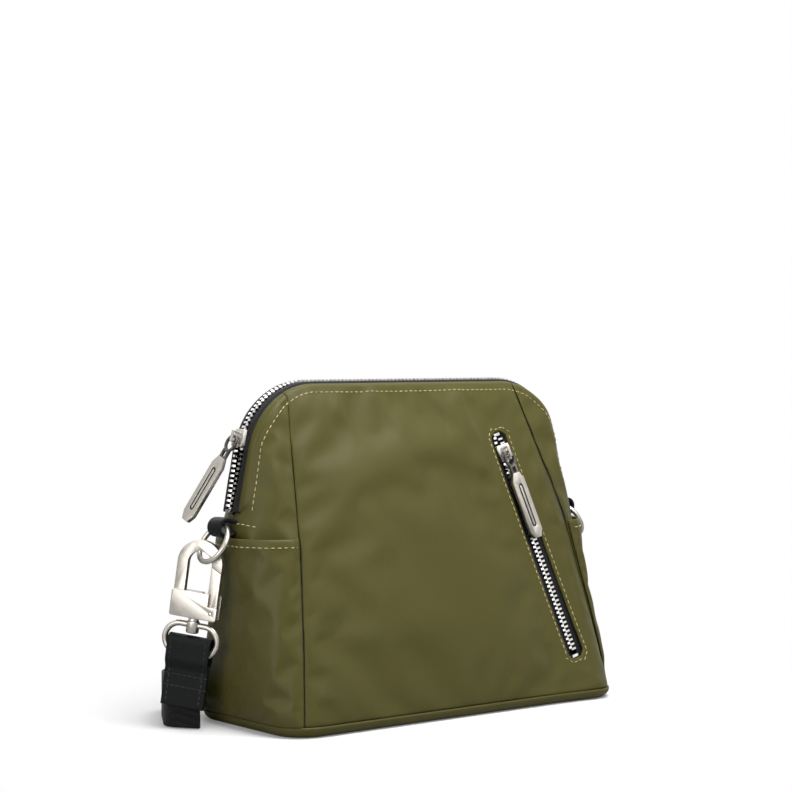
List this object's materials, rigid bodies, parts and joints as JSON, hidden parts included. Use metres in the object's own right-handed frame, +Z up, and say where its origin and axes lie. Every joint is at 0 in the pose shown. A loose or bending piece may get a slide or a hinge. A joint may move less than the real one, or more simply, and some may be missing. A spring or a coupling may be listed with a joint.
{
  "type": "crossbody purse",
  "caption": "Dome-topped nylon crossbody purse with an arched main zip, a slanted front zip pocket, side slip pockets, and a strap on swivel clasps.",
  "frame": {"origin": "centre of the base, on the surface that the bag stands on", "axes": "+X along the bag's width to its right side, -Y to its front, +Z up"},
  "size_m": [0.3058, 0.1777, 0.1915],
  "materials": {
    "nylon": "satin padded olive nylon",
    "lining": "smooth woven lining",
    "zip_tape": "ribbed woven tape",
    "zip_teeth": "nickel-plated, polished tips",
    "nickel": "satin nickel plate",
    "leather": "smooth black leather with painted edges",
    "webbing": "flat black webbing"
  },
  "bodies": {
    "bag": {"front_panel": "nylon", "back_panel": "nylon", "side_panel_left": "nylon", "side_panel_right": "nylon", "base_panel": "nylon", "side_pocket_left": "nylon", "side_pocket_right": "nylon", "lining": "lining", "front_pocket_pouch": "lining", "main_zip_tape_front": "zip_tape", "main_zip_tape_back": "zip_tape", "main_zip_teeth_front": "zip_teeth", "main_zip_teeth_back": "zip_teeth", "main_zip_stops": "zip_teeth", "pocket_zip_tapes": "zip_tape", "pocket_zip_teeth": "zip_teeth", "pocket_zip_stops": "zip_teeth", "strap_tab_left": "leather", "strap_tab_right": "leather", "strap": "webbing"},
    "main_slider": {"main_zip_slider": "nickel"},
    "main_pull": {"main_zip_pull": "nickel"},
    "pocket_slider": {"pocket_zip_slider": "nickel"},
    "pocket_pull": {"pocket_zip_pull": "nickel"},
    "ring_left": {"side_ring_left": "nickel"},
    "clasp_left": {"clasp_body_left": "nickel", "gate_pin_left": "nickel", "gate_spring_left": "nickel"},
    "gate_left": {"clasp_gate_left": "nickel"},
    "swivel_left": {"swivel_post_left": "nickel", "strap_ring_left": "nickel"},
    "strap_end_body_left": {"strap_end_left": "leather"},
    "ring_right": {"side_ring_right": "nickel"},
    "clasp_right": {"clasp_body_right": "nickel", "gate_pin_right": "nickel", "gate_spring_right": "nickel"},
    "gate_right": {"clasp_gate_right": "nickel"},
    "swivel_right": {"swivel_post_right": "nickel", "strap_ring_right": "nickel"},
    "strap_end_body_right": {"strap_end_right": "leather"}
  },
  "joints": [
    {"name": "main_zip_travel", "type": "hinge", "parent": "bag", "child": "main_slider", "pos_m": [-0.07016, 0.006, 0.145], "axis": [0, 1, 0], "range_deg": [0, 65], "deforming": ["main_zip_teeth_front", "main_zip_teeth_back"]},
    {"name": "main_pull_swing", "type": "hinge", "parent": "main_slider", "child": "main_pull", "pos_m": [-0.11779, 0.006, 0.16053], "axis": [0, 1, 0], "range_deg": [-2, 160]},
    {"name": "pocket_zip_travel", "type": "slide", "parent": "bag", "child": "pocket_slider", "axis": [0.2326, -0.2452, -0.9411], "range_m": [0, 0.12], "deforming": ["pocket_zip_teeth"]},
    {"name": "pocket_pull_swing", "type": "hinge", "parent": "pocket_slider", "child": "pocket_pull", "pos_m": [0.06202, -0.01626, 0.14751], "axis": [-0.9726, -0.0587, -0.2251], "range_deg": [0, 160]},
    {"name": "ring_swing_left", "type": "hinge", "parent": "bag", "child": "ring_left", "pos_m": [-0.127, 0.006, 0.111], "axis": [0, 1, 0], "range_deg": [-4, 40], "deforming": ["strap"]},
    {"name": "clasp_swing_left", "type": "hinge", "parent": "ring_left", "child": "clasp_left", "pos_m": [-0.13753, 0.00976, 0.09347], "axis": [-0.809, -0.5878, 0], "range_deg": [-90, 12], "deforming": ["strap"]},
    {"name": "gate_open_left", "type": "hinge", "parent": "clasp_left", "child": "gate_left", "pos_m": [-0.134, 0.0049, 0.06435], "axis": [-0.809, -0.5878, 0], "range_deg": [0, 19], "stiffness_Nm_per_rad": 0.02, "springref_deg": -5.73},
    {"name": "swivel_turn_left", "type": "hinge", "parent": "clasp_left", "child": "swivel_left", "pos_m": [-0.13896, 0.01173, 0.07614], "axis": [0.0818, -0.1126, 0.9903], "continuous": true, "deforming": ["strap"]},
    {"name": "strap_end_swing_left", "type": "hinge", "parent": "swivel_left", "child": "strap_end_body_left", "pos_m": [-0.14183, 0.01568, 0.04139], "axis": [0.5821, -0.8011, -0.1392], "range_deg": [-12, 12], "deforming": ["strap"]},
    {"name": "ring_swing_right", "type": "hinge", "parent": "bag", "child": "ring_right", "pos_m": [0.127, 0.006, 0.111], "axis": [0, -1, 0], "range_deg": [-4, 40], "deforming": ["strap"]},
    {"name": "clasp_swing_right", "type": "hinge", "parent": "ring_right", "child": "clasp_right", "pos_m": [0.13753, 0.00976, 0.09347], "axis": [-0.809, 0.5878, 0], "range_deg": [-90, 12], "deforming": ["strap"]},
    {"name": "gate_open_right", "type": "hinge", "parent": "clasp_right", "child": "gate_right", "pos_m": [0.134, 0.0049, 0.06435], "axis": [-0.809, 0.5878, 0], "range_deg": [0, 19], "stiffness_Nm_per_rad": 0.02, "springref_deg": -5.73},
    {"name": "swivel_turn_right", "type": "hinge", "parent": "clasp_right", "child": "swivel_right", "pos_m": [0.13896, 0.01173, 0.07614], "axis": [0.0818, 0.1126, -0.9903], "continuous": true, "deforming": ["strap"]},
    {"name": "strap_end_swing_right", "type": "hinge", "parent": "swivel_right", "child": "strap_end_body_right", "pos_m": [0.14183, 0.01568, 0.04139], "axis": [0.5821, 0.8011, 0.1392], "range_deg": [-12, 12], "deforming": ["strap"]}
  ]
}
